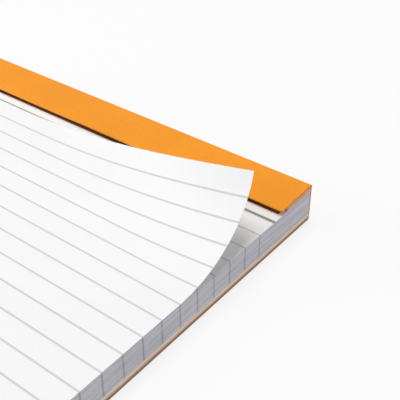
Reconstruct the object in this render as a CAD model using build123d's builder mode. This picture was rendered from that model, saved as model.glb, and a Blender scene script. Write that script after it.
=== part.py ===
from build123d import *
import os
from math import hypot, radians, sin

# A head-bound ruled notepad lying open: its card cover is folded right round to the back,
# and the top sheet is torn along the perforation from the right, so that its corner curls up.
# Frame: origin under the middle of the pad, +X to the right, +Y to the bound head, +Z up.

# Driving dimensions in millimetres and degrees
# The pad
pad_width = 148.0
pad_length = 210.0
sheet = 0.1
sheet_count = 80
board_thickness = 2.15
strip_thickness = 1.4
strip_setback = 3.0

# The folded card cover
card = 0.3
header_depth = 16.6
fold_gap = 0.1
spine_gap = 0.3
back_gap = 0.1
crease_radius = 0.3
wrap_radius = 0.4

# The torn top sheet
stub_depth = 3.5
held_width = 43.8
lifted_side = 43.1
curl_angle = 64.6

# The flat-wire staples under the header
wire_width = 0.6
wire_thickness = 0.4
crown = 12.0
clinch = 4.5
staple_spacing = 74.0
staple_setback = 5.0
staple_sink = 0.05
wire_clearance = 0.02

# Heights from the table up
back_bottom = card + back_gap
board_bottom = back_bottom + card
pages_bottom = board_bottom + board_thickness
pages_top = pages_bottom + sheet * sheet_count
second_page = pages_top - sheet
strip_top = pages_top + strip_thickness
header_top = strip_top + card + fold_gap + card

# Places along the pad, from the head to the foot
head = pad_length / 2
pages_head = head - card - spine_gap - card
staple_line = pages_head - staple_setback
fold_edge = head - header_depth
strip_edge = fold_edge + strip_setback
perforation = fold_edge - stub_depth
foot = -pad_length / 2

# Where the front flap ends behind the pad: opened out, it would reach from the fold to the foot
flap_end = head - (pad_length - header_depth - header_depth - header_top)

# Cover: one card traced along its fold line, from the flap's free edge under the pad, up behind
# the head, over the header, back on itself at the header's fold, which stands out past the head
# strip as a lip, over the strip to the head again, and down to the back panel
fold_radius = (fold_gap + card) / 2
fold_middle = fold_edge + fold_radius + card / 2
flap_bends = wrap_radius + card / 2
back_creases = crease_radius + card / 2

with BuildPart() as cover:
    with BuildSketch(Plane.YZ):
        with BuildLine():
            FilletPolyline(
                (flap_end, card / 2),
                (head - card / 2, card / 2),
                (head - card / 2, header_top - card / 2),
                (fold_middle, header_top - card / 2),
                radius=flap_bends,
            )
            CenterArc((fold_middle, strip_top + card / 2 + fold_radius), fold_radius, 90, 180)
            FilletPolyline(
                (fold_middle, strip_top + card / 2),
                (pages_head + card / 2, strip_top + card / 2),
                (pages_head + card / 2, back_bottom + card / 2),
                (foot, back_bottom + card / 2),
                radius=back_creases,
            )
        trace(line_width=card)
    extrude(amount=pad_width / 2, both=True)

# Staples: flat wire with its crown sunk in the head strip and its legs clinched into the board
crown_height = strip_top - staple_sink - wire_thickness / 2
clinch_height = board_bottom + staple_sink + wire_thickness / 2
staple_places = [(side * staple_spacing / 2, staple_line, 0) for side in (-1, 1)]


def staple_wire(thickness, width):
    """One staple about the middle of its crown, with a wire of the given thickness and width."""
    with BuildPart() as bent_wire:
        with BuildSketch(Plane.XZ):
            with BuildLine():
                FilletPolyline(
                    (clinch - crown / 2, clinch_height),
                    (-crown / 2, clinch_height),
                    (-crown / 2, crown_height),
                    (crown / 2, crown_height),
                    (crown / 2, clinch_height),
                    (crown / 2 - clinch, clinch_height),
                    radius=wire_thickness,
                )
            trace(line_width=thickness)
        extrude(amount=width / 2, both=True)
    return bent_wire.part


def staple_room():
    """The room that one staple presses into strip, pages and board, open above and below."""
    channel = wire_width + 2 * wire_clearance
    slot = wire_thickness + 2 * wire_clearance
    with BuildPart() as room:
        add(staple_wire(slot, channel))
        with Locations((0, 0, strip_top)):
            Box(
                crown + slot,
                channel,
                strip_top - crown_height,
                align=(Align.CENTER, Align.CENTER, Align.MAX),
            )
        for side in (-1, 1):
            with Locations((side * (crown + slot - clinch) / 2, 0, board_bottom)):
                Box(
                    clinch + slot,
                    channel,
                    clinch_height - board_bottom,
                    align=(Align.CENTER, Align.CENTER, Align.MIN),
                )
    return room.part


with BuildPart() as staples:
    with Locations(*staple_places):
        add(staple_wire(wire_thickness, wire_width))

pressed_room = staple_room()

# Backing board: a plain board with its lower head edge eased to sit in the cover's crease
with BuildPart() as backing_board:
    with BuildSketch(Plane.YZ):
        with BuildLine():
            Polyline(
                (foot, board_bottom),
                (pages_head, board_bottom),
                (pages_head, pages_bottom),
                (foot, pages_bottom),
                close=True,
            )
        make_face()
        crease_corner = vertices().group_by(Axis.Y)[0].sort_by(Axis.X)[-1]
        fillet(crease_corner, radius=crease_radius)
    extrude(amount=pad_width / 2, both=True)
    with Locations(*staple_places):
        add(pressed_room, mode=Mode.SUBTRACT)

# Head strip: a narrow board under the header, its upper head edge eased like the backing board's
with BuildPart() as head_strip:
    with BuildSketch(Plane.YZ):
        with BuildLine():
            Polyline(
                (strip_edge, pages_top),
                (pages_head, pages_top),
                (pages_head, strip_top),
                (strip_edge, strip_top),
                close=True,
            )
        make_face()
        crease_corner = vertices().group_by(Axis.Y)[-1].sort_by(Axis.X)[-1]
        fillet(crease_corner, radius=crease_radius)
    extrude(amount=pad_width / 2, both=True)
    with Locations(*staple_places):
        add(pressed_room, mode=Mode.SUBTRACT)

# Page block: the bound sheets as one solid, with the torn sheet's stub left above the perforation
with BuildPart() as page_block:
    with BuildSketch(Plane.YZ):
        with BuildLine():
            Polyline(
                (foot, pages_bottom),
                (pages_head, pages_bottom),
                (pages_head, pages_top),
                (perforation, pages_top),
                (perforation, second_page),
                (foot, second_page),
                close=True,
            )
        make_face()
    extrude(amount=pad_width / 2, both=True)
    with Locations(*staple_places):
        add(pressed_room, mode=Mode.SUBTRACT)

# Top sheet: flat over most of the pad, then bent round a cylinder whose axis runs parallel to the
# line from the end of the tear to the last flat point of the right edge
torn_width = pad_width - held_width
tear_line = hypot(torn_width, lifted_side)
curl_direction = Vector(lifted_side / tear_line, torn_width / tear_line)
curl_reach = torn_width * lifted_side / tear_line
curl_radius = curl_reach / radians(curl_angle)
curl_overrun = 3.0
sheet_span = pad_width + pad_length
right_edge = pad_width / 2
sheet_middle = second_page + sheet / 2


def drawn_in(reach):
    """How far a point drawn up the curl has moved back in plan, for its flat distance up it."""
    return curl_direction * (curl_radius * sin(reach / curl_radius) - reach)


def curled_edge(step_along):
    """Plan of an edge that rises from the curl's foot to the free corner, step by step."""
    steps = 6
    corner = Vector(right_edge, perforation)
    reaches = [curl_reach * step / steps for step in range(steps + 1)]
    return [corner + step_along * (reach - curl_reach) + drawn_in(reach) for reach in reaches]


side_plan = curled_edge(Vector(0, 1 / curl_direction.Y))
tear_plan = curled_edge(Vector(1 / curl_direction.X, 0))
curl_foot = Vector(right_edge, perforation, sheet_middle) - curl_direction * curl_reach
across_curl = Plane(
    origin=curl_foot,
    x_dir=curl_direction,
    z_dir=curl_direction.cross(Vector(0, 0, 1)),
)

with BuildPart() as top_sheet:
    with BuildSketch(across_curl):
        with BuildLine():
            Line((-sheet_span, 0), (0, 0))
            CenterArc((0, curl_radius), curl_radius, -90, curl_angle + curl_overrun)
        trace(line_width=sheet)
    extrude(amount=sheet_span, both=True)
    with BuildSketch():
        with BuildLine():
            Polyline(
                tear_plan[0],
                (-right_edge, perforation),
                (-right_edge, foot),
                (right_edge, foot),
                side_plan[0],
            )
            Spline(*side_plan)
            Spline(*tear_plan)
        make_face()
    extrude(amount=header_top + curl_reach, mode=Mode.INTERSECT)

# Finished pieces
os.makedirs("parts", exist_ok=True)

cover.part.label = "cover"
export_step(cover.part, "parts/cover.step")

backing_board.part.label = "backing_board"
export_step(backing_board.part, "parts/backing_board.step")

head_strip.part.label = "head_strip"
export_step(head_strip.part, "parts/head_strip.step")

page_block.part.label = "page_block"
export_step(page_block.part, "parts/page_block.step")

top_sheet.part.label = "top_sheet"
export_step(top_sheet.part, "parts/top_sheet.step")

staples.part.label = "staples"
export_step(staples.part, "parts/staples.step")
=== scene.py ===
import math

import bmesh
import bpy
import numpy as np
from bpy.props import FloatProperty, FloatVectorProperty, IntProperty, PointerProperty
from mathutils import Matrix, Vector


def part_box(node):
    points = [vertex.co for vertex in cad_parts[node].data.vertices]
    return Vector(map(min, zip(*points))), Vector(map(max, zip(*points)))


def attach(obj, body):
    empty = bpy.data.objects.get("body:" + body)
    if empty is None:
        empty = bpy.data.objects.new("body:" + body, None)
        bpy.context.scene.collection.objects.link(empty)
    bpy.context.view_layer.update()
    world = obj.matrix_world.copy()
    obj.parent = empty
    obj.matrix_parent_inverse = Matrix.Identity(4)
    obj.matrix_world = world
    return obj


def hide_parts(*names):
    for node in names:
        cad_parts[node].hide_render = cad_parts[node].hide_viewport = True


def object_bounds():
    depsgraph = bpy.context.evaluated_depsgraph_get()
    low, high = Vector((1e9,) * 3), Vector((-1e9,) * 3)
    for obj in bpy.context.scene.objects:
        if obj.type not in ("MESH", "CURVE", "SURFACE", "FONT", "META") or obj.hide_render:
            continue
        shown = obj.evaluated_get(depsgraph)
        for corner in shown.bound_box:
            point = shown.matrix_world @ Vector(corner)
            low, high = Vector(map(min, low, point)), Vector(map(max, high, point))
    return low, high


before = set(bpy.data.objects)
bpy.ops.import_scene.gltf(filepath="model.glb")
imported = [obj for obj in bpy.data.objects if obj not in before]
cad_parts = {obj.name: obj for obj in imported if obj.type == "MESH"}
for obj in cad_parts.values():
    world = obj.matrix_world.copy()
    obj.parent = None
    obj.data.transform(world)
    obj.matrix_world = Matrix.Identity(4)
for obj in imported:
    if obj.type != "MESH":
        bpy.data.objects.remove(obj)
cad_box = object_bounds()

bl_info = {
    "name": "Ruled notepad",
    "version": (1, 0, 0),
    "blender": (4, 5, 0),
    "location": "3D View > Sidebar > Notepad",
    "description": "A head-bound ruled notepad with a torn sheet that curls up at its corner",
    "category": "Add Mesh",
}

MM = 0.001
BODY = "root"
COVER_LOW, COVER_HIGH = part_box("cover")
BOARD_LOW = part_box("backing_board")[0]
STRIP_LOW, STRIP_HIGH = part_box("head_strip")
PAGES_LOW, PAGES_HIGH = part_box("page_block")
SHEET_LOW, SHEET_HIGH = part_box("top_sheet")

# Roughness of boards and cut edges, and specular level of coated card and paper faces
MATT = 0.9
LOW_SHEEN = 0.3

# Ends of a smooth step that falls from 1 to 0
FALLING = (1.0, 0.0)

# Depth of the layers that show as relief on boards and cut edges
LAYER_RELIEF = 0.03 * MM

# Columns across a sheet with a torn edge, two to a millimetre so that its teeth show
TORN_COLUMNS = 297

# Edges that turn by more than this stay crisp
CRISP_ANGLE = math.radians(40)


def srgb(red, green, blue):
    """A colour as it is seen, from 0 to 255, as the linear values that shaders take."""
    seen = np.array((red, green, blue)) / 255
    linear = np.where(seen > 0.04045, ((seen + 0.055) / 1.055) ** 2.4, seen / 12.92)
    return tuple(float(value) for value in linear)


def length(name, description, millimetres):
    """A size property in metres, given in millimetres."""
    return FloatProperty(
        name=name,
        description=description,
        default=millimetres * MM,
        unit="LENGTH",
        precision=5,
    )


def colour(name, description, seen):
    """A colour property, given as it is seen."""
    return FloatVectorProperty(
        name=name,
        description=description,
        default=srgb(*seen),
        subtype="COLOR",
        min=0.0,
        max=1.0,
    )


def angle(name, description, degrees):
    """An angle property, given in degrees."""
    return FloatProperty(
        name=name,
        description=description,
        default=math.radians(degrees),
        subtype="ANGLE",
    )


def watts(name, description, power):
    """The power of a lamp."""
    return FloatProperty(name=name, description=description, default=power, unit="POWER")


class NotepadSizes(bpy.types.PropertyGroup):
    """Sizes of the notepad that the frame's boxes don't give."""

    card: length("Card", "Thickness of the cover card", 0.3)
    fold_gap: length("Fold gap", "Air inside the header's fold", 0.1)
    header_depth: length("Header depth", "From the head to the header's fold", 16.6)
    wrap_radius: length("Wrap radius", "Inside bend of the flap round the head", 0.4)
    crease_radius: length("Crease radius", "Inside bend of the scored creases", 0.3)
    ripple: length("Ripple", "Unevenness of the header's lip along the pad", 0.05)
    flap_skew: length("Flap skew", "How far the flap's ends lie inside the strip's", 0.2)
    # Heights of the painted contact shade on the pad's lower edges, where they meet the table
    card_contact_shade: length("Card soil", "Height of the dirt on the edge of the cover's back", 0.2)
    board_contact_shade: length("Board soil", "Height of the dirt on the edge of the board", 1.6)
    sheet: length("Sheet", "Thickness of one sheet", 0.1)
    sheet_count: IntProperty(name="Sheets", description="Sheets in the pad", default=80)
    held_width: length("Held width", "Perforation that still holds at the left", 43.8)
    lifted_side: length("Lifted side", "Right edge that lifts off the pad", 43.1)
    curl_angle: angle("Curl angle", "How steeply the free corner stands", 64.6)
    cockle: length("Cockle", "Unevenness of the flat part of the torn sheet", 0.05)
    nib: length("Nib", "Teeth left along the torn perforation", 0.12)
    nib_pitch: length("Nib pitch", "Distance between two cuts of the perforation", 1.0)
    # Width of the perforation's dark line: its pressed cut edges with painted shade in the cuts
    cut_shade_width: length("Cut width", "Half width of the cuts with their pressed edges", 0.85)
    # Soft edge and side margin of the painted shade on the sheets under the header's lip
    lip_shade_edge: length("Glue edge", "Width of the soft edge of the glue under the header", 0.5)
    lip_shade_margin: length("Glue margin", "How far short of the pad's sides the glue ends", 1.1)
    edge_jitter: length("Edge jitter", "How unevenly the cut edges of the sheets lie", 0.1)
    ruling_pitch: length("Ruling pitch", "Distance between two ruled lines", 7.0)
    first_line: length("First line", "From the perforation to the first ruled line", 7.33)
    line_width: length("Line width", "Width of a ruled line", 0.58)
    foot_margin: length("Foot margin", "Blank stretch below the last ruled line", 6.0)


class NotepadColours(bpy.types.PropertyGroup):
    """Colours of the notepad's papers, card and wire."""

    card: colour("Card", "Coated face of the cover", (247, 153, 22))
    card_worn: colour("Worn card", "Coat rubbed thin along the bends", (255, 186, 104))
    card_edge: colour("Card edge", "Cut edge of the cover card", (238, 178, 122))
    # Painted contact shade on the pad's lower edges, where they meet the table
    contact_shade: colour("Contact Shade", "Shade painted along the edges that lie on the table", (124, 80, 44))
    board: colour("Board", "Backing board", (253, 230, 210))
    head_strip: colour("Head strip", "Narrow board under the header", (226, 182, 140))
    paper: colour("Paper", "Face of a sheet", (251, 251, 251))
    # Page edges: paper greyed by painted shade of the gaps between the sheets; page gaps: painted
    # shade
    page_edge: colour("Page edges", "Cut edges of the stacked sheets", (231, 229, 236))
    page_gap: colour("Page gaps", "Shade between the stacked sheets", (190, 188, 197))
    ruling: colour("Ruling", "Ink of the ruled lines", (209, 210, 213))
    edge_mark: colour("Edge marks", "Ends of the ruled lines on the page edges", (150, 151, 158))
    # Perforation: pressed cut edges, with painted shade in the cuts and under the stub's torn edge
    perforation: colour("Perforation", "Cuts along the perforation", (142, 148, 137))
    # Painted shade on the stub under the header's overhanging lip
    lip_shade: colour("Lip shade", "Painted glue on the sheets under the header", (128, 84, 58))
    wire: colour("Wire", "Staple wire", (205, 205, 207))


class NotepadStage(bpy.types.PropertyGroup):
    """Camera, lamps and floor."""

    aim: FloatVectorProperty(
        name="Aim",
        description="Point of the top page in the middle of the picture",
        default=(50.7 * MM, 80.48 * MM, PAGES_HIGH.z),
        subtype="TRANSLATION",
        precision=5,
    )
    azimuth: angle("Azimuth", "Camera's turn from the pad's foot towards its right side", 37.903)
    elevation: angle("Elevation", "Camera's height above the horizon", 35.802)
    distance: length("Distance", "From the camera to the aim", 230.34)
    lens: FloatProperty(
        name="Lens",
        description="Focal length in millimetres on a sensor 36 mm wide",
        default=70.78,
        unit="CAMERA",
    )
    ambient: FloatProperty(
        name="Ambient",
        description="Strength of the light from all round",
        default=0.165,
    )
    top: watts("Top", "Lamp above the pad", 6.75)
    key: watts("Key", "Lamp high behind the head", 3.35)
    left: watts("Left", "Lamp at the front left", 4.05)
    front: watts("Front", "Low lamp at the front", 4.5)
    right: watts("Right", "Low lamp at the right", 5.6)
    back: watts("Back", "Low lamp behind the head", 1.8)
    floor_bounce: colour("Floor bounce", "Floor as the pad sees it", (190, 190, 190))
    floor_white: FloatProperty(
        name="Floor white",
        description="Share of plain white in the floor as the camera sees it",
        default=0.82,
        subtype="FACTOR",
    )
    fade_start: length("Fade start", "Where the floor starts to whiten, from the pad", 250.0)
    fade_end: length("Fade end", "Where the floor is all white, from the pad", 900.0)


# Node trees


def set_inputs(tree, node, inputs):
    """Sets a node's inputs to values, or links them to sockets."""
    for socket, value in inputs.items():
        if isinstance(value, bpy.types.NodeSocket):
            tree.links.new(value, node.inputs[socket])
        else:
            node.inputs[socket].default_value = value


def add_node(tree, kind, inputs, **settings):
    """A node with its settings, and its inputs set to values or linked to sockets."""
    made = tree.nodes.new(kind)
    for key, value in settings.items():
        setattr(made, key, value)
    set_inputs(tree, made, inputs)
    return made


def math_node(tree, operation, first, second=0.0):
    """The output of a Math node."""
    return add_node(tree, "ShaderNodeMath", {0: first, 1: second}, operation=operation).outputs[0]


def product(tree, first, second):
    """Two values multiplied."""
    return math_node(tree, "MULTIPLY", first, second)


def weighted_sum(tree, first, first_share, second, second_share):
    """Two values added, each by its share."""
    return math_node(
        tree,
        "ADD",
        product(tree, first, first_share),
        product(tree, second, second_share),
    )


def step_node(tree, value, low, high, ends=(0.0, 1.0)):
    """A smooth step of value from low to high, between the two ends."""
    inputs = {
        "Value": value,
        "From Min": low,
        "From Max": high,
        "To Min": ends[0],
        "To Max": ends[1],
    }
    made = add_node(tree, "ShaderNodeMapRange", inputs, interpolation_type="SMOOTHSTEP")
    return made.outputs["Result"]


def mix_node(tree, factor, first, second):
    """The colour that lies between two colours, by the colour sockets of a Mix node."""
    inputs = {0: factor, 6: first, 7: second}
    return add_node(tree, "ShaderNodeMix", inputs, data_type="RGBA").outputs[2]


def separate(tree, place):
    """The X, Y and Z of a place."""
    return add_node(tree, "ShaderNodeSeparateXYZ", {0: place}).outputs


def noise(tree, place, scale, detail):
    """Noise from 0 to 1 at a place."""
    inputs = {"Vector": place, "Scale": scale, "Detail": detail}
    return add_node(tree, "ShaderNodeTexNoise", inputs).outputs["Fac"]


def bump(tree, height, depth):
    """The normal of a surface raised by height times the depth in metres."""
    inputs = {"Height": height, "Strength": 1.0, "Distance": depth}
    return add_node(tree, "ShaderNodeBump", inputs).outputs["Normal"]


def opaque(tint, share=1.0):
    """A colour at a share of its strength, with its alpha."""
    return (*(min(1.0, value * share) for value in tint), 1.0)


# Effects that materials share


def ruling(tree, given):
    """Ruled lines: ink where the distance down the sheet is near a whole number of pitches, from
    just above the first line to the last."""
    soft_edge = (0.7, 1.3)
    above_first = -0.4
    across = separate(tree, given["Place"])["Y"]
    drop = math_node(tree, "SUBTRACT", given["First Line"], across)
    turns = math_node(tree, "DIVIDE", drop, given["Pitch"])
    nearest = math_node(tree, "PINGPONG", turns, 0.5)
    away = product(tree, nearest, given["Pitch"])
    half = product(tree, given["Width"], 0.5)
    inner, outer = (product(tree, half, share) for share in soft_edge)
    line = step_node(tree, away, inner, outer, FALLING)
    below_top = math_node(tree, "GREATER_THAN", turns, above_first)
    above_foot = math_node(tree, "GREATER_THAN", across, given["Last Line"])
    return {"Ink": product(tree, line, product(tree, below_top, above_foot))}


def perforation(tree, given):
    """A row of short cuts along one line, their pressed edges with painted shade in the cuts and
    under the torn edge above them: dashes by the distance across, faded off the line.
    """
    core = 0.2
    bridge_strength = 0.78
    place = separate(tree, given["Place"])
    away = math_node(tree, "ABSOLUTE", math_node(tree, "SUBTRACT", place["Y"], given["Line"]))
    inner = product(tree, given["Width"], core)
    on_line = step_node(tree, away, inner, given["Width"], FALLING)
    turns = math_node(tree, "DIVIDE", place["X"], given["Pitch"])
    from_bridge = math_node(tree, "PINGPONG", turns, 0.5)
    dash = step_node(tree, from_bridge, low=0.06, high=0.16, ends=(bridge_strength, 1.0))
    return {"Cut": product(tree, on_line, dash)}


def grain(tree, given):
    """Paper and card grain: a fine felted speckle over broad, faint mottling."""
    return {
        "Speckle": noise(tree, given["Place"], given["Fine"], detail=3.0),
        "Mottle": noise(tree, given["Place"], given["Broad"], detail=2.0),
    }


def streaks(tree, given):
    """Streaks of stacked layers: noise drawn out along the layers and tight across them."""
    stretch = {"X": given["Along"], "Y": given["Along"], "Z": given["Across"]}
    scale = add_node(tree, "ShaderNodeCombineXYZ", stretch).outputs[0]
    places = {0: given["Place"], 1: scale}
    drawn = add_node(tree, "ShaderNodeVectorMath", places, operation="MULTIPLY").outputs[0]
    return {"Streak": noise(tree, drawn, scale=1.0, detail=3.0)}


def contact_shade(tree, given):
    """Painted contact shade where the pad meets the table: full at the bottom and gone at the top.
    """
    height = separate(tree, given["Place"])["Z"]
    return {"Contact Shade": step_node(tree, height, given["Bottom"], given["Top"], FALLING)}


def fibres(tree, given):
    """Fibres of a layered stock: its streaks drawn sharper, with fine flecks over them."""
    fibre_share = 0.75
    fleck_share = 0.35
    fibre = step_node(tree, given["Streak"], low=0.35, high=0.65)
    fleck = noise(tree, given["Place"], given["Fleck"], detail=3.0)
    return {"Tone": weighted_sum(tree, fibre, fibre_share, fleck, fleck_share)}


EFFECTS = {
    "Ruling": (ruling, ("First Line", "Last Line", "Pitch", "Width"), ("Ink",)),
    "Perforation": (perforation, ("Line", "Pitch", "Width"), ("Cut",)),
    "Grain": (grain, ("Fine", "Broad"), ("Speckle", "Mottle")),
    "Streaks": (streaks, ("Along", "Across"), ("Streak",)),
    "Contact Shade": (contact_shade, ("Bottom", "Top"), ("Contact Shade",)),
    "Fibres": (fibres, ("Streak", "Fleck"), ("Tone",)),
}


def make_effect(name):
    """A shader node group that takes a place and named values, and gives what its effect makes."""
    make, values, results = EFFECTS[name]
    tree = bpy.data.node_groups.new(name, "ShaderNodeTree")
    add_socket = tree.interface.new_socket
    add_socket(name="Place", in_out="INPUT", socket_type="NodeSocketVector")
    for value in values:
        add_socket(name=value, in_out="INPUT", socket_type="NodeSocketFloat")
    for result in results:
        add_socket(name=result, in_out="OUTPUT", socket_type="NodeSocketFloat")
    given = tree.nodes.new("NodeGroupInput").outputs
    set_inputs(tree, tree.nodes.new("NodeGroupOutput"), make(tree, given))


def use_effect(tree, name, values):
    """The outputs of a shared effect, placed in a tree with its own values."""
    if name not in bpy.data.node_groups:
        make_effect(name)
    group = bpy.data.node_groups[name]
    return add_node(tree, "ShaderNodeGroup", values, node_tree=group).outputs


# Materials


def new_material(name):
    """A material, its tree and its Principled shader."""
    material = bpy.data.materials.new(name)
    material.use_nodes = True
    tree = material.node_tree
    return material, tree, tree.nodes["Principled BSDF"]


def object_place(tree):
    """Object coordinates."""
    return tree.nodes.new("ShaderNodeTexCoord").outputs["Object"]


def flat_place(tree):
    """Where a point of the torn sheet lay before the sheet curled, from its own map."""
    return add_node(tree, "ShaderNodeUVMap", {}, uv_map="flat").outputs["UV"]


def card_material(tints):
    """Coated card: satin orange with a fine grain, rubbed paler along its bends."""
    dark = 0.9
    light = 1.06
    speckle_share = 0.6
    mottle_share = 0.4
    rub = 0.35
    relief = 0.02 * MM
    material, tree, shader = new_material("coated_card")
    marks = use_effect(tree, "Grain", {"Place": object_place(tree), "Fine": 2600.0, "Broad": 45.0})
    speckle = step_node(tree, marks["Speckle"], low=0.32, high=0.68)
    mottle = step_node(tree, marks["Mottle"], low=0.3, high=0.7)
    tone = weighted_sum(tree, speckle, speckle_share, mottle, mottle_share)
    coat = mix_node(tree, tone, opaque(tints.card, dark), opaque(tints.card, light))
    bend = add_node(tree, "ShaderNodeAttribute", {}, attribute_name="bend").outputs["Fac"]
    rubbed = product(tree, bend, product(tree, mottle, rub))
    finish = {
        "Base Color": mix_node(tree, rubbed, coat, opaque(tints.card_worn)),
        "Roughness": step_node(tree, marks["Speckle"], low=0.2, high=0.8, ends=(0.5, 0.66)),
        "Specular IOR Level": LOW_SHEEN,
        "Normal": bump(tree, marks["Speckle"], relief),
    }
    set_inputs(tree, shader, finish)
    return material


def layered_material(name, along, across):
    """A matt stock of layers that show as streaks: the material, its tree and shader, the place on
    it and its streaks."""
    material, tree, shader = new_material(name)
    place = object_place(tree)
    values = {"Place": place, "Along": along, "Across": across}
    streak = use_effect(tree, "Streaks", values)["Streak"]
    set_inputs(tree, shader, {"Roughness": MATT, "Normal": bump(tree, streak, LAYER_RELIEF)})
    return material, tree, shader, place, streak


def fibre_colour(tree, place, streak, face, shade):
    """The face's colour down to a share of it, by the fibres in its layers."""
    values = {"Place": place, "Streak": streak, "Fleck": 3000.0}
    tone = use_effect(tree, "Fibres", values)["Tone"]
    return mix_node(tree, tone, opaque(face, shade), opaque(face))


def with_contact_shade(tree, place, height, strength, clean, tints):
    """A colour darkened by painted contact shade, full at the board's underside and gone at a
    height above it.
    """
    reach = {"Place": place, "Bottom": BOARD_LOW.z, "Top": BOARD_LOW.z + height}
    painted_shade = product(tree, use_effect(tree, "Contact Shade", reach)["Contact Shade"], strength)
    return mix_node(tree, painted_shade, clean, opaque(tints.contact_shade))


def board_material(name, face, sizes, tints):
    """Layered board: fibres along its layers, and painted contact shade along the pad's lower edge.
    """
    shade = 0.88
    shade_strength = 0.85
    material, tree, shader, place, streak = layered_material(name, along=90.0, across=3500.0)
    clean = fibre_colour(tree, place, streak, face, shade)
    worn = with_contact_shade(tree, place, sizes.board_contact_shade, shade_strength, clean, tints)
    set_inputs(tree, shader, {"Base Color": worn})
    return material


def cut_card_material(sizes, tints):
    """Cut edge of the card: pale with streaks along its layers, and darkened by painted contact
    shade next to the table.
    """
    shade = 0.7
    shade_strength = 0.7
    name = "card_cut_edge"
    material, tree, shader, place, streak = layered_material(name, along=50.0, across=6000.0)
    clean = mix_node(tree, streak, opaque(tints.card_edge, shade), opaque(tints.card_edge))
    worn = with_contact_shade(tree, place, sizes.card_contact_shade, shade_strength, clean, tints)
    set_inputs(tree, shader, {"Base Color": worn})
    return material


def cut_sheet_material(tints):
    """Cut edge of one sheet: the paper's colour with fibres along the sheet."""
    shade = 0.82
    name = "sheet_cut_edge"
    material, tree, shader, place, streak = layered_material(name, along=200.0, across=5000.0)
    set_inputs(tree, shader, {"Base Color": fibre_colour(tree, place, streak, tints.paper, shade)})
    return material


def ruling_values(place, sizes):
    """Values of the ruling for sheets that end at the perforation and the pad's foot."""
    return {
        "Place": place,
        "First Line": SHEET_HIGH.y - sizes.first_line,
        "Last Line": PAGES_LOW.y + sizes.foot_margin,
        "Pitch": sizes.ruling_pitch,
        "Width": sizes.line_width,
    }


def lip_shade_mask(tree, place, sizes):
    """Where painted shade lies on the sheets under the header's lip: 1 from its fold to the head,
    and short of the pad's sides.
    """
    fold = COVER_HIGH.y - sizes.header_depth
    side = PAGES_HIGH.x - sizes.lip_shade_margin
    apart = separate(tree, place)
    behind = step_node(tree, apart["Y"], fold, fold + sizes.lip_shade_edge)
    away = math_node(tree, "ABSOLUTE", apart["X"])
    between = step_node(tree, away, side - sizes.lip_shade_edge, side, FALLING)
    return product(tree, behind, between)


def paper_material(name, find_place, sizes, tints, perforated=False):
    """Writing paper: near white with faint felting, grey ruled lines and a matt face. The bound
    pages have the cuts of the perforation, with painted shade in them, and painted shade under the
    header's lip too."""
    shade = 0.97
    speckle_share = 0.5
    mottle_share = 0.5
    relief = 0.008 * MM
    material, tree, shader = new_material(name)
    place = find_place(tree)
    felt = use_effect(tree, "Grain", {"Place": place, "Fine": 1800.0, "Broad": 40.0})
    tone = weighted_sum(tree, felt["Speckle"], speckle_share, felt["Mottle"], mottle_share)
    felting = step_node(tree, tone, low=0.35, high=0.6)
    face = mix_node(tree, felting, opaque(tints.paper, shade), opaque(tints.paper))
    lines = use_effect(tree, "Ruling", ruling_values(place, sizes))["Ink"]
    printed = step_node(tree, felt["Speckle"], low=0.2, high=0.8, ends=(0.8, 1.0))
    face = mix_node(tree, product(tree, lines, printed), face, opaque(tints.ruling))
    if perforated:
        # The perforation's cuts and the stub's torn edge, darkened by painted shade
        row = {"Line": SHEET_HIGH.y, "Pitch": sizes.nib_pitch, "Width": sizes.cut_shade_width}
        cuts = use_effect(tree, "Perforation", {"Place": place, **row})["Cut"]
        face = mix_node(tree, cuts, face, opaque(tints.perforation))
        # Painted shade on the sheets under the header's lip
        face = mix_node(tree, lip_shade_mask(tree, place, sizes), face, opaque(tints.lip_shade))
    finish = {
        "Base Color": face,
        "Roughness": step_node(tree, felt["Speckle"], low=0.2, high=0.8, ends=(0.72, 0.84)),
        "Specular IOR Level": LOW_SHEEN,
        "Normal": bump(tree, felt["Speckle"], relief),
    }
    set_inputs(tree, shader, finish)
    return material


def page_edge_material(sizes, tints):
    """Stacked page edges: thin light and dark layers, the dark ones painted shade between the
    sheets and the light ones greyed by painted shade, with the ends of the ruled lines as marks.
    """
    fine_share = 0.6
    broad_share = 0.4
    sheen = 0.2
    name = "page_edges"
    material, tree, shader, place, fine = layered_material(name, along=40.0, across=7000.0)
    bands = {"Place": place, "Along": 14.0, "Across": 900.0}
    broad = use_effect(tree, "Streaks", bands)["Streak"]
    layers = weighted_sum(tree, fine, fine_share, broad, broad_share)
    tone = step_node(tree, layers, low=0.3, high=0.62)
    # Painted shade between the stacked sheets, over edges greyed by it
    face = mix_node(tree, tone, opaque(tints.page_gap), opaque(tints.page_edge))
    marks = use_effect(tree, "Ruling", ruling_values(place, sizes))["Ink"]
    broken = step_node(tree, fine, low=0.3, high=0.6, ends=(0.9, 0.4))
    marked = mix_node(tree, product(tree, marks, broken), face, opaque(tints.edge_mark))
    set_inputs(tree, shader, {"Base Color": marked, "Specular IOR Level": sheen})
    return material


def wire_material(tints):
    """Drawn wire: bright metal with fine lines along the crown."""
    shade = 0.85
    material, tree, shader = new_material("staple_wire")
    values = {"Place": object_place(tree), "Along": 300.0, "Across": 9000.0}
    lines = use_effect(tree, "Streaks", values)["Streak"]
    finish = {
        "Base Color": mix_node(tree, lines, opaque(tints.wire, shade), opaque(tints.wire)),
        "Roughness": step_node(tree, lines, low=0.3, high=0.7, ends=(0.25, 0.4)),
        "Metallic": 1.0,
    }
    set_inputs(tree, shader, finish)
    return material


# Surfaces


def straight_run(start, end, step):
    """Points from start to end, about a step apart, and no bend at any of them."""
    count = max(2, int(np.linalg.norm(end - start) / step) + 1)
    return start + np.linspace(0, 1, count)[:, None] * (end - start), np.zeros(count)


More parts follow.
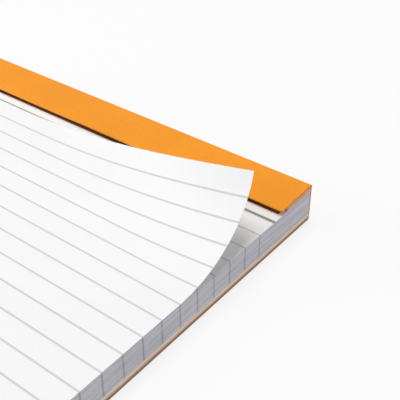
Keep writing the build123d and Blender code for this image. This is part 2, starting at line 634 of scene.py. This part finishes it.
def rounded_path(corners, radii, run_step, turn_step):
    """Points of straight runs joined by arcs, and how far each lies on an arc.

    Each inner corner gives way to an arc of its radius, which leaves the runs at the radius times
    the tangent of half the turn. Points stand about run_step apart on the runs and turn_step apart
    in angle on the arcs, and the bend rises as a half sine from 0 to 1 and back along each arc.
    """
    shortest_run = 0.01 * run_step
    corners = np.array(corners, float)
    steps = np.diff(corners, axis=0)
    headings = np.arctan2(steps[:, 1], steps[:, 0])
    turns = (np.diff(headings) + np.pi) % (2 * np.pi) - np.pi
    along = steps / np.linalg.norm(steps, axis=1)[:, None]
    cut = np.array(radii) * np.tan(np.abs(turns) / 2)
    stretches = []
    start = corners[0]
    for index, turn in enumerate(turns):
        enters = corners[index + 1] - along[index] * cut[index]
        if np.linalg.norm(enters - start) > shortest_run:
            stretches.append(straight_run(start, enters, run_step))
        count = max(3, int(abs(turn) / turn_step) + 1)
        share = np.linspace(0, 1, count)[1:-1]
        inward = np.sign(turn) * np.array((-along[index][1], along[index][0]))
        arm = -inward * radii[index]
        quarter_on = np.array((-arm[1], arm[0]))
        turned = np.outer(np.cos(share * turn), arm) + np.outer(np.sin(share * turn), quarter_on)
        stretches.append((enters - arm + turned, np.sin(share * np.pi)))
        start = corners[index + 1] + along[index + 1] * cut[index]
    stretches.append(straight_run(start, corners[-1], run_step))
    points, bends = zip(*stretches)
    return np.concatenate(points), np.concatenate(bends)


def surface_normals(grid):
    """Unit normals of a grid of points: the cross product of its steps across and down."""
    down = np.gradient(grid, axis=0)
    across = np.gradient(grid, axis=1)
    normal = np.cross(across, down)
    return normal / np.linalg.norm(normal, axis=2, keepdims=True)


def slab_faces(rows, columns):
    """Quads of the upper side, the lower side and the rim of a slab on a grid, rim last."""
    index = np.arange(rows * columns).reshape(rows, columns)
    quads = (index[:-1, :-1], index[:-1, 1:], index[1:, 1:], index[1:, :-1])
    upper = np.stack(quads, -1).reshape(-1, 4)
    below = rows * columns
    lower = upper[:, ::-1] + below
    border = np.concatenate((index[0, :], index[1:, -1], index[-1, -2::-1], index[-2:0:-1, 0]))
    following = np.roll(border, -1)
    rim = np.stack((following, border, border + below, following + below), -1)
    return np.concatenate((upper, lower, rim)), len(rim)


def new_piece(name, points, faces, materials, face_slots, nodes):
    """A mesh object from arrays, riding on the pad and standing for CAD nodes."""
    mesh = bpy.data.meshes.new(name)
    mesh.from_pydata(points.reshape(-1, 3).tolist(), [], faces)
    for material in materials:
        mesh.materials.append(material)
    mesh.polygons.foreach_set("material_index", face_slots)
    mesh.update()
    shell = bmesh.new()
    shell.from_mesh(mesh)
    bmesh.ops.recalc_face_normals(shell, faces=shell.faces)
    shell.to_mesh(mesh)
    shell.free()
    piece = bpy.data.objects.new(name, mesh)
    bpy.context.scene.collection.objects.link(piece)
    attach(piece, BODY)
    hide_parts(*nodes)
    return piece


def new_slab(name, middle, thickness, materials, nodes):
    """A sheet about a grid of points: each point moved along its normal by half the thickness, up
    and down, and kept inside the pad's box where a tilted rim would stand out of it. The last of
    its materials is on the rim."""
    rows, columns = middle.shape[:2]
    offset = surface_normals(middle) * thickness / 2
    points = np.concatenate((middle + offset, middle - offset))
    points = np.clip(points, *np.array(cad_box))
    faces, rim = slab_faces(rows, columns)
    slots = np.zeros(len(faces), np.int32)
    slots[-rim:] = len(materials) - 1
    return new_piece(name, points, faces.tolist(), materials, slots, nodes)


def ease(low, high, value):
    """A smooth step from 0 at low to 1 at high: three times the squared share of the way between
    them, less twice the cubed share."""
    share = np.clip((value - low) / (high - low), 0, 1)
    return share * share * (3 - 2 * share)


def wave(place, rate, start=0.0):
    """A sine wave: the sine of a start angle and of the place times the wave's rate."""
    return np.sin(place * rate + start)


def shade_smooth(piece):
    """Smooth shading with sharp edges kept crisp."""
    mesh = piece.data
    mesh.polygons.foreach_set("use_smooth", np.ones(len(mesh.polygons), bool))
    mesh.set_sharp_from_angle(angle=CRISP_ANGLE)


# Pieces


def cover_corners(sizes):
    """Corners of the card's fold line in the plane of the side view, from the flap's free edge to
    the foot of the back, and the radius at each inner one."""
    card = sizes.card
    half = card / 2
    head, foot = COVER_HIGH.y, COVER_LOW.y
    header_top = COVER_HIGH.z
    lip = STRIP_HIGH.z + half
    back = BOARD_LOW.z - half
    fold_line = head - sizes.header_depth + half
    fold_radius = (sizes.fold_gap + card) / 2
    flap_reach = (head - foot) - 2 * sizes.header_depth - header_top
    wrap = sizes.wrap_radius + half
    crease = sizes.crease_radius + half
    corners = [
        (head - flap_reach, half),
        (head - half, half),
        (head - half, header_top - half),
        (fold_line, header_top - half),
        (fold_line, lip),
        (PAGES_HIGH.y + half, lip),
        (PAGES_HIGH.y + half, back),
        (foot, back),
    ]
    return corners, [wrap, wrap, fold_radius, fold_radius, crease, crease]


class NOTEPAD_OT_folded_cover(bpy.types.Operator):
    """Card cover, folded back on itself at the header and round the head to the back"""

    bl_idname = "notepad.folded_cover"
    bl_label = "Folded cover"

    def execute(self, context):
        """The card's fold line carried across the pad: point (s, x) is the fold line at s, moved
        along the pad's width by x. A slow ripple of two waves grows from the head strip to the
        fold and only dips, and the flap narrows from the fold to the head."""
        sizes, tints = context.scene.notepad_sizes, context.scene.notepad_colours
        run_step = 4 * MM
        turn_step = math.radians(12)
        columns = 61
        second_wave = 0.6
        path, bend = rounded_path(*cover_corners(sizes), run_step, turn_step)
        across = np.linspace(COVER_LOW.x, COVER_HIGH.x, columns)
        y, x = np.meshgrid(path[:, 0], across, indexing="ij")
        z = np.repeat(path[:, 1:], columns, axis=1)
        fold = COVER_HIGH.y - sizes.header_depth
        lifted = ease(STRIP_LOW.y, fold, y) * (z > PAGES_HIGH.z)
        ripple = wave(x, rate=61.0, start=0.7) + second_wave * wave(x, rate=143.0, start=2.1)
        z = z + lifted * sizes.ripple * (ripple - (1 + second_wave))
        length_along = np.cumsum(np.r_[0, np.linalg.norm(np.diff(path, axis=0), axis=1)])
        above_pages = np.where(path[:, 1] < PAGES_HIGH.z, np.inf, path[:, 0])
        fold_at = length_along[np.argmin(above_pages)]
        loose = 1 - ease(fold_at - sizes.header_depth, fold_at, length_along)
        x = x * (1 - loose[:, None] * sizes.flap_skew / COVER_HIGH.x)
        middle = np.stack((x, y, z), -1)
        materials = [card_material(tints), cut_card_material(sizes, tints)]
        cover = new_slab("folded_cover", middle, sizes.card, materials, ["cover"])
        worn = np.tile(np.repeat(bend, columns), 2).astype(np.float32)
        cover.data.attributes.new("bend", "FLOAT", "POINT").data.foreach_set("value", worn)
        shade_smooth(cover)
        return {"FINISHED"}


def stack_outline(steps_x, steps_y):
    """Points round a unit rectangle from its front left corner, their outward directions, and the
    side that each is on."""
    x = np.linspace(0, 1, steps_x + 1)[:-1]
    y = np.linspace(0, 1, steps_y + 1)[:-1]
    sides = [
        np.stack((x, 0 * x), 1),
        np.stack((0 * y + 1, y), 1),
        np.stack((1 - x, 0 * x + 1), 1),
        np.stack((0 * y, 1 - y), 1),
    ]
    normals = np.array(((0, -1), (1, 0), (0, 1), (-1, 0)), float)
    counts = [len(side) for side in sides]
    side_of = np.repeat(np.arange(len(sides)), counts)
    outward = normals[side_of]
    corners = np.cumsum([0] + counts[:-1])
    outward[corners] += np.roll(normals, 1, axis=0)
    return np.concatenate(sides), outward, side_of


class NOTEPAD_OT_page_stack(bpy.types.Operator):
    """Bound sheets with their cut edges, and the torn sheet's stub above the perforation"""

    bl_idname = "notepad.page_stack"
    bl_label = "Page stack"

    def execute(self, context):
        """Rings round the stack, one on each sheet and one in each groove between two: point
        (ring, turn) is the outline drawn in by the sheet's inset there, in a groove by the deeper
        of its two sheets' insets and the groove's own depth."""
        sizes, tints = context.scene.notepad_sizes, context.scene.notepad_colours
        groove_share = 0.35
        outline, outward, side_of = stack_outline(steps_x=24, steps_y=40)
        low, high = np.array(PAGES_LOW), np.array(PAGES_HIGH)
        plan = low[:2] + outline * (high[:2] - low[:2])
        sheets = self.sheet_insets(sizes, side_of)
        padded = np.concatenate((sheets[:1], sheets, sheets[-1:]))
        inset = np.empty((2 * len(sheets) + 1, len(plan)))
        inset[1::2] = sheets
        inset[::2] = np.maximum(padded[:-1], padded[1:]) + groove_share * sizes.edge_jitter
        heights = low[2] + sizes.sheet / 2 * np.arange(len(inset))
        rings = plan[None] - outward[None] * inset[:, :, None]
        z = np.repeat(heights[:, None], len(plan), 1)
        points = np.concatenate((rings, z[:, :, None]), 2)
        index = np.arange(inset.size).reshape(inset.shape)
        after = np.roll(index, -1, axis=1)
        walls = np.stack((index[:-1], after[:-1], after[1:], index[1:]), -1).reshape(-1, 4)
        faces = walls.tolist() + [index[0, ::-1].tolist(), index[-1].tolist()]
        slots = np.zeros(len(faces), np.int32)
        slots[: len(walls)] = 1
        page = paper_material("page_face", object_place, sizes, tints, perforated=True)
        materials = [page, page_edge_material(sizes, tints)]
        new_piece("page_stack", points, faces, materials, slots, ["page_block"])
        self.make_stub(sizes, page)
        return {"FINISHED"}

    def sheet_insets(self, sizes, side_of):
        """How far each sheet lies inside the stack's outline: by its own chance on each side, by
        the mean of its near neighbours' chances, and by a slow wave along its edge, with sheets
        that would stand out lying flush."""
        seed = 7
        own_share = 0.35
        group_share = 1.1
        group_size = 6
        flush_share = 0.4
        wave_share = 0.25
        waves_round = 9
        chance = np.random.default_rng(seed)
        own = chance.random((sizes.sheet_count - 1, 4))
        window = np.ones(group_size) / group_size
        groups = np.stack([np.convolve(side, window, "same") for side in own.T], 1)
        drawn = (own_share * own + group_share * groups)[:, side_of] - flush_share
        phase = chance.random((len(own), 1)) * 2 * np.pi
        turn = np.linspace(0, 2 * np.pi, len(side_of))[None, :]
        drawn = drawn + wave_share * wave(turn, waves_round, phase)
        return np.clip(drawn, 0, None) * sizes.edge_jitter

    def make_stub(self, sizes, page):
        """Strip left by the torn sheet: level, from the head to a near edge that the nibs step in
        and out. Point (share, x) lies at that share of the way between the two."""
        x = np.linspace(PAGES_LOW.x, PAGES_HIGH.x, TORN_COLUMNS)
        share = np.array((0.0, 0.25, 0.5, 0.75, 0.98, 1.0))[:, None]
        near = SHEET_HIGH.y + sizes.nib * torn_edge(x, sizes.nib_pitch)
        far = PAGES_HIGH.y
        y = far + (near - far)[None, :] * share
        z = np.full_like(y, PAGES_HIGH.z - sizes.sheet / 2)
        middle = np.stack((np.tile(x, (len(share), 1)), y, z), -1)
        new_slab("sheet_stub", middle, sizes.sheet, [page], ["page_block"])


def torn_edge(x, pitch):
    """Teeth of a torn perforation, from 0 to 1: half sine waves, one to a pitch, whose height
    varies by the product of two slower waves."""
    mean_height = 0.6
    spread = 0.4
    turn = x / pitch
    tooth = np.abs(wave(turn, rate=np.pi, start=0.8))
    slower = wave(turn, rate=2.3) * wave(turn, rate=0.71, start=1.0)
    return tooth * (mean_height + spread * slower)


class NOTEPAD_OT_torn_sheet(bpy.types.Operator):
    """Top sheet, torn along the perforation from the right, with its corner curled up"""

    bl_idname = "notepad.torn_sheet"
    bl_label = "Torn sheet"

    def execute(self, context):
        """The flat sheet (x, y) bent round a cylinder: past the line from the end of the tear to
        the last flat point of the right edge, a point at distance t lies at radius times the sine
        of t over the radius along the bend, and rises by the radius times one minus its cosine."""
        sizes, tints = context.scene.notepad_sizes, context.scene.notepad_colours
        tear, right = SHEET_HIGH.y, SHEET_HIGH.x
        flat_x, flat_y = self.flat_grid(sizes)
        torn = (right - SHEET_LOW.x) - sizes.held_width
        tear_line = math.hypot(torn, sizes.lifted_side)
        toward_x, toward_y = sizes.lifted_side / tear_line, torn / tear_line
        reach = torn * sizes.lifted_side / tear_line
        radius = reach / sizes.curl_angle
        past = (flat_x - right) * toward_x + (flat_y - tear) * toward_y + reach
        past = np.maximum(past, 0)
        drawn = radius * np.sin(past / radius) - past
        rise = radius * (1 - np.cos(past / radius))
        z = SHEET_LOW.z + sizes.sheet / 2 + rise + self.cockle(sizes, flat_x, flat_y)
        middle = np.stack((flat_x + drawn * toward_x, flat_y + drawn * toward_y, z), -1)
        materials = [
            paper_material("sheet_face", flat_place, sizes, tints),
            cut_sheet_material(tints),
        ]
        nodes = ["top_sheet"]
        sheet = new_slab("torn_sheet", middle, sizes.sheet, materials, nodes)
        lay_flat_map(sheet, np.stack((flat_x, flat_y), -1))
        shade_smooth(sheet)
        return {"FINISHED"}

    def flat_grid(self, sizes):
        """The sheet before it curled: rows down from the tear, close together where it curls, with
        teeth in the first one."""
        tear, foot = SHEET_HIGH.y, SHEET_LOW.y
        first_row = 0.3 * MM
        curled_zone = 60 * MM
        curled_rows = 56
        level_rows = 17
        x = np.linspace(SHEET_LOW.x, SHEET_HIGH.x, TORN_COLUMNS)
        curled = np.linspace(first_row, curled_zone, curled_rows)
        level = np.linspace(curled_zone, tear - foot, level_rows + 1)[1:]
        flat_x, down = np.meshgrid(x, np.concatenate(([0.0], curled, level)))
        flat_y = tear - down
        flat_y[0] -= sizes.nib * (1 - torn_edge(x, sizes.nib_pitch))
        return flat_x, flat_y

    def cockle(self, sizes, x, y):
        """Slow unevenness: two crossed waves and a slanting one, whose sum from -2 to 2 is brought
        to heights from 0 to the cockle's."""
        crossed = wave(x, rate=47.0, start=1.3) * wave(y, rate=39.0, start=0.4)
        slanting = wave(21.0 * x - 33.0 * y, rate=1.0)
        return sizes.cockle * (crossed + slanting + 2) / 4


def lay_flat_map(sheet, flat):
    """The sheet's own map, in metres: where each point lay before the sheet curled."""
    mesh = sheet.data
    corners = np.empty(len(mesh.loops), np.int32)
    mesh.loops.foreach_get("vertex_index", corners)
    places = np.tile(flat.reshape(-1, 2), (2, 1))[corners]
    mesh.uv_layers.new(name="flat").uv.foreach_set("vector", places.astype(np.float32).ravel())


class NOTEPAD_OT_boards_and_staples(bpy.types.Operator):
    """Finishes of the backing board, the head strip and the staples"""

    bl_idname = "notepad.boards_and_staples"
    bl_label = "Boards and staples"

    def execute(self, context):
        """The CAD solids keep their shape and take their finish."""
        sizes, tints = context.scene.notepad_sizes, context.scene.notepad_colours
        finishes = {
            "backing_board": board_material("backing_board", tints.board, sizes, tints),
            "head_strip": board_material("head_strip", tints.head_strip, sizes, tints),
            "staples": wire_material(tints),
        }
        for node, material in finishes.items():
            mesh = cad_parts[node].data
            mesh.materials.clear()
            mesh.materials.append(material)
        return {"FINISHED"}


# Stage


def direction(azimuth, elevation):
    """Unit vector towards a place seen at that turn and height, as the camera's turn is counted."""
    level = math.cos(elevation)
    return Vector((math.sin(azimuth) * level, -math.cos(azimuth) * level, math.sin(elevation)))


def place_facing(name, data, aim, away, distance):
    """An object at a distance from the aim, turned to face it."""
    placed = bpy.data.objects.new(name, data)
    placed.location = aim + away * distance
    placed.rotation_mode = "QUATERNION"
    placed.rotation_quaternion = (-away).to_track_quat("-Z", "Y")
    bpy.context.scene.collection.objects.link(placed)
    return placed


def softbox(name, power, azimuth, elevation, distance=1.4, size=0.5):
    """A square lamp that faces the table under the middle of the pad, its angles in degrees."""
    aim = Vector((0.0, 0.0, 0.0))
    lamp = bpy.data.lights.new(name, "AREA")
    lamp.shape = "SQUARE"
    lamp.size = size
    lamp.energy = power
    away = direction(math.radians(azimuth), math.radians(elevation))
    place_facing(name, lamp, aim, away, distance)


def seen_directly(tree):
    """1 for rays that show the background as it is: from the camera, a mirror or glass."""
    rays = tree.nodes.new("ShaderNodeLightPath").outputs
    shown = math_node(tree, "MAXIMUM", rays["Is Camera Ray"], rays["Is Glossy Ray"])
    return math_node(tree, "MAXIMUM", shown, rays["Is Transmission Ray"])


def mix_shaders(tree, share, first, second):
    """The shader that lies between two shaders."""
    inputs = {0: share, 1: first.outputs[0], 2: second.outputs[0]}
    return add_node(tree, "ShaderNodeMixShader", inputs)


def floor_material(stage):
    """Pale floor: a quiet bounce for the pad, and for the camera mostly white with its shadow,
    with all of it white far from the pad."""
    faint = 0.97
    pale_face = (0.9, 0.9, 0.9)
    material, tree, bounce = new_material("pale_floor")
    place = object_place(tree)
    mottle = use_effect(tree, "Grain", {"Place": place, "Fine": 400.0, "Broad": 6.0})["Mottle"]
    tone = mix_node(tree, mottle, opaque(stage.floor_bounce, faint), opaque(stage.floor_bounce))
    set_inputs(tree, bounce, {"Base Color": tone, "Roughness": MATT})
    shaded = add_node(tree, "ShaderNodeBsdfDiffuse", {"Color": opaque(pale_face)})
    white = add_node(tree, "ShaderNodeEmission", {"Strength": 1.0})
    away = add_node(tree, "ShaderNodeVectorMath", {0: place}, operation="LENGTH").outputs["Value"]
    share = step_node(tree, away, stage.fade_start, stage.fade_end, (stage.floor_white, 1.0))
    shown = mix_shaders(tree, share, shaded, white)
    whole = mix_shaders(tree, seen_directly(tree), bounce, shown)
    tree.links.new(whole.outputs[0], tree.nodes["Material Output"].inputs["Surface"])
    return material


class NOTEPAD_OT_stage(bpy.types.Operator):
    """Pale floor, soft lamps, world and camera"""

    bl_idname = "notepad.stage"
    bl_label = "Stage"

    def execute(self, context):
        """A wide floor just under the pad, six soft lamps, light from all round and the camera."""
        stage = context.scene.notepad_stage
        self.make_floor(stage)
        self.make_world(stage)
        softbox("top", stage.top, azimuth=-90.0, elevation=85.0)
        softbox("key", stage.key, azimuth=-150.0, elevation=70.0, distance=1.3)
        softbox("left_fill", stage.left, azimuth=-60.0, elevation=45.0)
        softbox("front_fill", stage.front, azimuth=-50.0, elevation=18.0, size=0.6)
        softbox("right_fill", stage.right, azimuth=90.0, elevation=15.0)
        softbox("back_fill", stage.back, azimuth=172.0, elevation=12.0)
        self.make_camera(context.scene, stage)
        context.scene.view_settings.view_transform = "Standard"
        return {"FINISHED"}

    def make_floor(self, stage):
        """A square of 6 m, a hair below the pad."""
        reach = 3.0
        drop = 0.02 * MM
        signs = ((-1, -1), (1, -1), (1, 1), (-1, 1))
        corners = [(x * reach, y * reach, -drop) for x, y in signs]
        mesh = bpy.data.meshes.new("floor")
        mesh.from_pydata(corners, [], [(0, 1, 2, 3)])
        mesh.materials.append(floor_material(stage))
        floor = bpy.data.objects.new("floor", mesh)
        bpy.context.scene.collection.objects.link(floor)

    def make_world(self, stage):
        """White where it is seen directly, and an even ambient light elsewhere."""
        world = bpy.data.worlds.new("studio")
        world.use_nodes = True
        tree = world.node_tree
        extra = product(tree, seen_directly(tree), 1.0 - stage.ambient)
        strength = math_node(tree, "ADD", extra, stage.ambient)
        white = {"Color": (1.0, 1.0, 1.0, 1.0), "Strength": strength}
        set_inputs(tree, tree.nodes["Background"], white)
        bpy.context.scene.world = world

    def make_camera(self, scene, stage):
        """The camera, aimed at a point of the top page."""
        data = bpy.data.cameras.new("camera")
        data.lens = stage.lens
        data.sensor_width = 36.0
        data.clip_start = 0.01
        data.clip_end = 50.0
        away = direction(stage.azimuth, stage.elevation)
        scene.camera = place_facing("camera", data, Vector(stage.aim), away, stage.distance)


# Panel and start


OPERATORS = (
    NOTEPAD_OT_folded_cover,
    NOTEPAD_OT_page_stack,
    NOTEPAD_OT_torn_sheet,
    NOTEPAD_OT_boards_and_staples,
    NOTEPAD_OT_stage,
)


class NOTEPAD_PT_pieces(bpy.types.Panel):
    """Sizes, colours and pieces of the notepad"""

    bl_idname = "NOTEPAD_PT_pieces"
    bl_label = "Ruled notepad"
    bl_space_type = "VIEW_3D"
    bl_region_type = "UI"
    bl_category = "Notepad"

    def draw(self, context):
        """The operators in the order in which main calls them, and the values that they read."""
        scene = context.scene
        for operator in OPERATORS:
            self.layout.operator(operator.bl_idname)
        for group in (scene.notepad_sizes, scene.notepad_colours, scene.notepad_stage):
            column = self.layout.column(align=True)
            for value in group.__annotations__:
                column.prop(group, value)


CLASSES = (NotepadSizes, NotepadColours, NotepadStage, *OPERATORS, NOTEPAD_PT_pieces)


def register():
    """Registers the classes and hangs the values on the scene."""
    for made in CLASSES:
        bpy.utils.register_class(made)
    bpy.types.Scene.notepad_sizes = PointerProperty(type=NotepadSizes)
    bpy.types.Scene.notepad_colours = PointerProperty(type=NotepadColours)
    bpy.types.Scene.notepad_stage = PointerProperty(type=NotepadStage)


def unregister():
    """Takes back what register did."""
    del bpy.types.Scene.notepad_stage
    del bpy.types.Scene.notepad_colours
    del bpy.types.Scene.notepad_sizes
    for made in reversed(CLASSES):
        bpy.utils.unregister_class(made)


def main():
    """Makes the notepad and its stage."""
    register()
    bpy.ops.notepad.folded_cover()
    bpy.ops.notepad.page_stack()
    bpy.ops.notepad.torn_sheet()
    bpy.ops.notepad.boards_and_staples()
    bpy.ops.notepad.stage()


if __name__ == "__main__":
    main()
